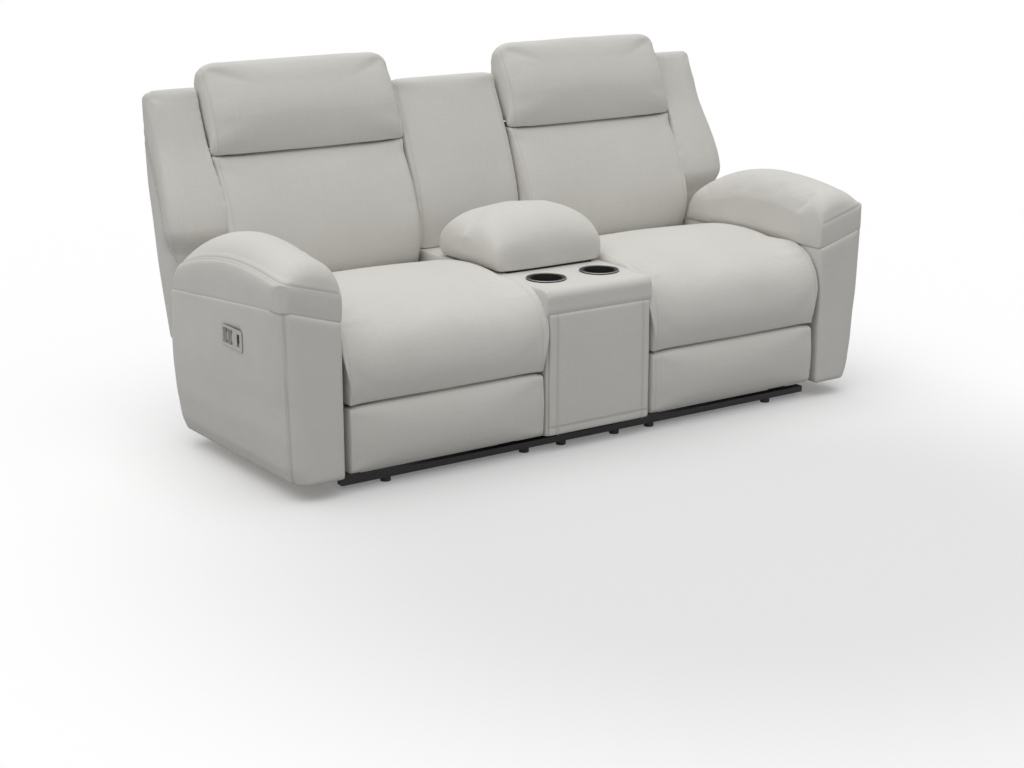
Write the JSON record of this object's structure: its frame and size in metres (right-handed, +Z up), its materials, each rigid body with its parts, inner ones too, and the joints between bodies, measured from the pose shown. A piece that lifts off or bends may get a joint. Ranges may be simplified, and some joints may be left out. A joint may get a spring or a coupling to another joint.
{
  "type": "power reclining loveseat",
  "caption": "Upholstered power reclining loveseat with tilting headrests, swing-out footrests and a centre console with cup holders and a hinged padded lid.",
  "frame": {"origin": "middle of the box around the loveseat at rest, on the floor", "axes": "+X to the right as seen from the front, +Y towards the back, +Z up"},
  "size_m": [1.97, 0.8561, 1.029],
  "materials": {
    "upholstery": "matte woven light warm grey",
    "plywood": "bare plywood",
    "black_plastic": "moulded black",
    "switch_plastic": "satin black",
    "cup_plastic": "gloss black",
    "brushed_plate": "brushed",
    "foot_plastic": "moulded black",
    "bright_steel": "plain zinc",
    "black_steel": "black enamel"
  },
  "bodies": {
    "base": {"arm_frames": "plywood", "back_motors": "black_steel", "base_rails": "black_steel", "centre_back_pad": "upholstery", "console_body": "upholstery", "console_front_panel": "upholstery", "cup_holders": "cup_plastic", "footrest_actuators": "black_steel", "glide_feet": "foot_plastic", "left_arm_pad": "upholstery", "left_arm_panel": "upholstery", "left_seat_cushion": "upholstery", "left_switch_plate": "brushed_plate", "lid_hinge_base": "bright_steel", "mechanism_plates": "black_steel", "power_supply": "black_plastic", "right_arm_pad": "upholstery", "right_arm_panel": "upholstery", "right_seat_cushion": "upholstery", "right_switch_plate": "brushed_plate", "seat_boards": "plywood", "seat_springs": "bright_steel", "storage_bin": "black_plastic"},
    "left_drive": {"left_drive_links": "black_steel"},
    "left_rear_link": {"left_rear_links": "black_steel"},
    "left_front_link": {"left_front_links": "black_steel"},
    "left_control_link": {"left_control_links": "black_steel"},
    "left_footrest": {"left_footrest_board": "plywood", "left_footrest_brackets": "black_steel", "left_footrest_pad": "upholstery"},
    "left_carriage": {"left_drive_carriage": "black_steel"},
    "left_back": {"left_back_frame": "plywood", "left_back_pad": "upholstery", "left_wing_pad": "upholstery", "left_back_cover": "upholstery"},
    "left_back_rod": {"left_back_rod": "black_steel"},
    "left_headrest": {"left_headrest_pad": "upholstery", "left_headrest_plate": "black_steel"},
    "left_recline_rocker": {"left_recline_rocker": "switch_plastic"},
    "left_headrest_rocker": {"left_headrest_rocker": "switch_plastic"},
    "right_drive": {"right_drive_links": "black_steel"},
    "right_rear_link": {"right_rear_links": "black_steel"},
    "right_front_link": {"right_front_links": "black_steel"},
    "right_control_link": {"right_control_links": "black_steel"},
    "right_footrest": {"right_footrest_board": "plywood", "right_footrest_brackets": "black_steel", "right_footrest_pad": "upholstery"},
    "right_carriage": {"right_drive_carriage": "black_steel"},
    "right_back": {"right_back_frame": "plywood", "right_back_pad": "upholstery", "right_wing_pad": "upholstery", "right_back_cover": "upholstery"},
    "right_back_rod": {"right_back_rod": "black_steel"},
    "right_headrest": {"right_headrest_pad": "upholstery", "right_headrest_plate": "black_steel"},
    "right_recline_rocker": {"right_recline_rocker": "switch_plastic"},
    "right_headrest_rocker": {"right_headrest_rocker": "switch_plastic"},
    "lid": {"lid_pad": "upholstery", "lid_board": "plywood", "lid_hinge_leaf": "bright_steel"}
  },
  "joints": [
    {"name": "left_footrest_drive", "type": "hinge", "parent": "base", "child": "left_drive", "pos_m": [-0.49, -0.2335, 0.285], "axis": [-1, 0, 0], "range_deg": [0, 88]},
    {"name": "left_rear_link", "type": "hinge", "parent": "base", "child": "left_rear_link", "pos_m": [-0.49, -0.1735, 0.281], "axis": [-1, 0, 0], "range_deg": [0, 88]},
    {"name": "left_front_link", "type": "hinge", "parent": "left_drive", "child": "left_front_link", "pos_m": [-0.49, -0.1337, 0.07428], "axis": [1, 0, 0], "range_deg": [0, 88]},
    {"name": "left_control_link", "type": "hinge", "parent": "left_drive", "child": "left_control_link", "pos_m": [-0.49, -0.13901, 0.10381], "axis": [1, 0, 0], "range_deg": [0, 88]},
    {"name": "left_footrest", "type": "hinge", "parent": "left_front_link", "child": "left_footrest", "pos_m": [-0.49, -0.3215, 0.2], "axis": [-1, 0, 0], "range_deg": [0, 88]},
    {"name": "left_carriage", "type": "slide", "parent": "base", "child": "left_carriage", "axis": [0, -1, 0], "range_m": [0, 0.08336]},
    {"name": "left_recline", "type": "hinge", "parent": "base", "child": "left_back", "pos_m": [-0.49, 0.2565, 0.35], "axis": [-1, 0, 0], "range_deg": [0, 35]},
    {"name": "left_back_rod", "type": "slide", "parent": "base", "child": "left_back_rod", "axis": [0, -1, 0], "range_m": [0, 0.03608]},
    {"name": "left_headrest", "type": "hinge", "parent": "left_back", "child": "left_headrest", "pos_m": [-0.49, 0.3205, 0.784], "axis": [1, 0, 0], "range_deg": [0, 30]},
    {"name": "left_recline_rocker", "type": "hinge", "parent": "base", "child": "left_recline_rocker", "pos_m": [-0.98, -0.1245, 0.389], "axis": [0, 1, 0], "range_deg": [-6, 6], "stiffness_Nm_per_rad": 0.6},
    {"name": "left_headrest_rocker", "type": "hinge", "parent": "base", "child": "left_headrest_rocker", "pos_m": [-0.98, -0.1525, 0.389], "axis": [0, 1, 0], "range_deg": [-6, 6], "stiffness_Nm_per_rad": 0.6},
    {"name": "right_footrest_drive", "type": "hinge", "parent": "base", "child": "right_drive", "pos_m": [0.49, -0.2335, 0.285], "axis": [-1, 0, 0], "range_deg": [0, 88]},
    {"name": "right_rear_link", "type": "hinge", "parent": "base", "child": "right_rear_link", "pos_m": [0.49, -0.1735, 0.281], "axis": [-1, 0, 0], "range_deg": [0, 88]},
    {"name": "right_front_link", "type": "hinge", "parent": "right_drive", "child": "right_front_link", "pos_m": [0.49, -0.1337, 0.07428], "axis": [1, 0, 0], "range_deg": [0, 88]},
    {"name": "right_control_link", "type": "hinge", "parent": "right_drive", "child": "right_control_link", "pos_m": [0.49, -0.13901, 0.10381], "axis": [1, 0, 0], "range_deg": [0, 88]},
    {"name": "right_footrest", "type": "hinge", "parent": "right_front_link", "child": "right_footrest", "pos_m": [0.49, -0.3215, 0.2], "axis": [-1, 0, 0], "range_deg": [0, 88]},
    {"name": "right_carriage", "type": "slide", "parent": "base", "child": "right_carriage", "axis": [0, -1, 0], "range_m": [0, 0.08336]},
    {"name": "right_recline", "type": "hinge", "parent": "base", "child": "right_back", "pos_m": [0.49, 0.2565, 0.35], "axis": [-1, 0, 0], "range_deg": [0, 35]},
    {"name": "right_back_rod", "type": "slide", "parent": "base", "child": "right_back_rod", "axis": [0, -1, 0], "range_m": [0, 0.03608]},
    {"name": "right_headrest", "type": "hinge", "parent": "right_back", "child": "right_headrest", "pos_m": [0.49, 0.3205, 0.784], "axis": [1, 0, 0], "range_deg": [0, 30]},
    {"name": "right_recline_rocker", "type": "hinge", "parent": "base", "child": "right_recline_rocker", "pos_m": [0.98, -0.1245, 0.389], "axis": [0, 1, 0], "range_deg": [-6, 6], "stiffness_Nm_per_rad": 0.6},
    {"name": "right_headrest_rocker", "type": "hinge", "parent": "base", "child": "right_headrest_rocker", "pos_m": [0.98, -0.1525, 0.389], "axis": [0, 1, 0], "range_deg": [-6, 6], "stiffness_Nm_per_rad": 0.6},
    {"name": "console_lid", "type": "hinge", "parent": "base", "child": "lid", "pos_m": [0, 0.1505, 0.463], "axis": [-1, 0, 0], "range_deg": [0, 58]}
  ],
  "couplings": [
    {"joint": "left_rear_link", "follows": "left_footrest_drive", "ratio": 1},
    {"joint": "left_front_link", "follows": "left_footrest_drive", "ratio": 1},
    {"joint": "left_control_link", "follows": "left_footrest_drive", "ratio": 1},
    {"joint": "left_footrest", "follows": "left_footrest_drive", "ratio": 1},
    {"joint": "left_carriage", "follows": "left_footrest_drive", "m_per_rad": 0.054274},
    {"joint": "left_back_rod", "follows": "left_recline", "m_per_rad": 0.059071},
    {"joint": "right_rear_link", "follows": "right_footrest_drive", "ratio": 1},
    {"joint": "right_front_link", "follows": "right_footrest_drive", "ratio": 1},
    {"joint": "right_control_link", "follows": "right_footrest_drive", "ratio": 1},
    {"joint": "right_footrest", "follows": "right_footrest_drive", "ratio": 1},
    {"joint": "right_carriage", "follows": "right_footrest_drive", "m_per_rad": 0.054274},
    {"joint": "right_back_rod", "follows": "right_recline", "m_per_rad": 0.059071}
  ]
}
